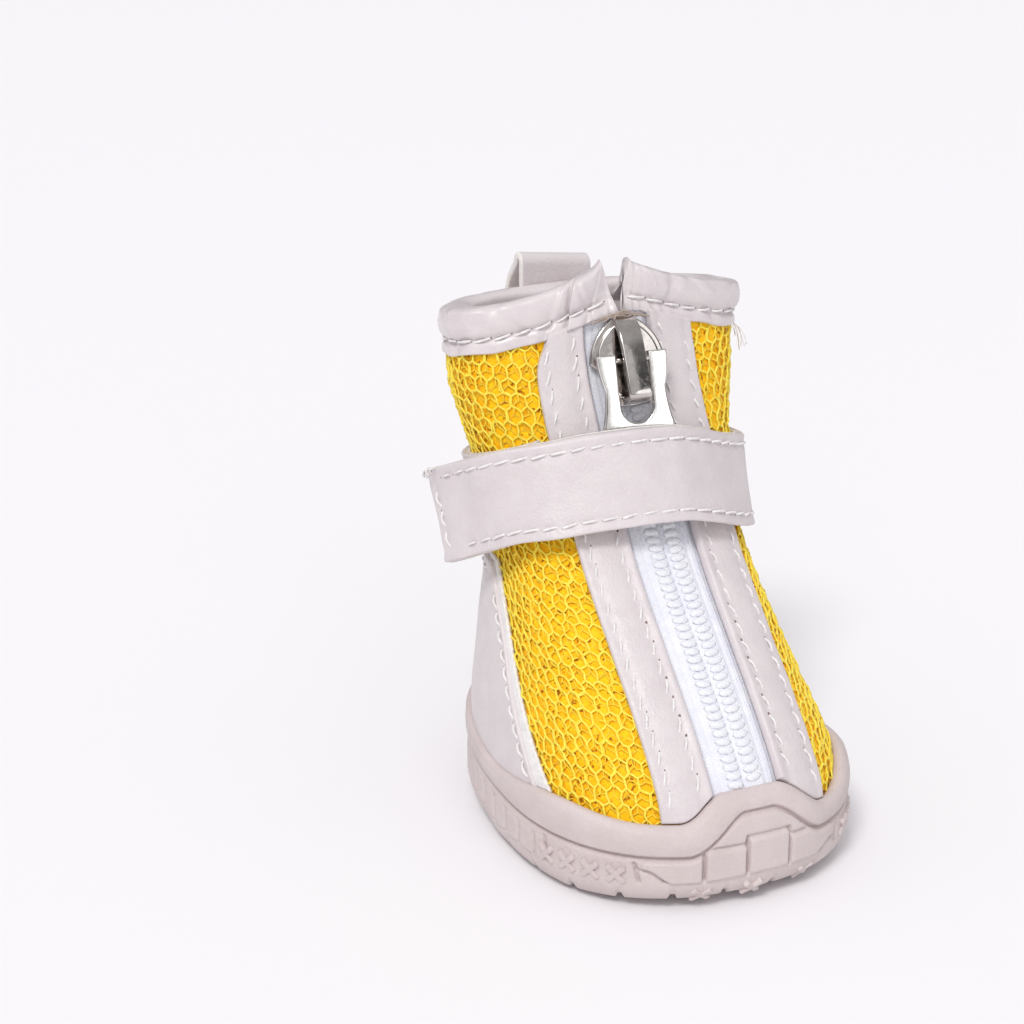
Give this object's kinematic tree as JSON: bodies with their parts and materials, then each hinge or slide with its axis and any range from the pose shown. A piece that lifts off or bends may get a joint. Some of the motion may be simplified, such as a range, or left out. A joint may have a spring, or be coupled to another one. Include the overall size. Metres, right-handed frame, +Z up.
{
  "type": "dog boot",
  "caption": "Small soft dog boot with a cup sole, a front zip under a wrap strap, a bound collar and a pull loop behind.",
  "frame": {"origin": "on the floor under the middle of the boot's footprint, the loop behind it included", "axes": "+Z up, toe towards -Y, +X across the boot, to the right of someone who faces its toe"},
  "size_m": [0.0495, 0.0698, 0.0774],
  "materials": {
    "sole_rubber": "matte moulded rubber",
    "insole_felt": "brushed felt",
    "air_mesh": "open knitted spacer mesh",
    "coated_fabric": "smooth soft sheen, stitched",
    "zip_nylon": "woven tape and nylon coil",
    "zip_metal": "polished nickel plate"
  },
  "bodies": {
    "boot": {"outsole": "sole_rubber", "insole": "insole_felt", "upper": "air_mesh", "quarter": "coated_fabric", "facing_left": "coated_fabric", "facing_right": "coated_fabric", "zip_tape": "zip_nylon", "collar_binding": "coated_fabric", "strap": "coated_fabric", "pull_loop": "coated_fabric", "zip_slider": "zip_metal"},
    "pull": {"zip_pull": "zip_metal"}
  },
  "joints": [
    {"name": "pull_hinge", "type": "hinge", "parent": "boot", "child": "pull", "pos_m": [0.0002, 0.00217, 0.06539], "axis": [-1, 0, 0], "range_deg": [0, 4.5]}
  ]
}
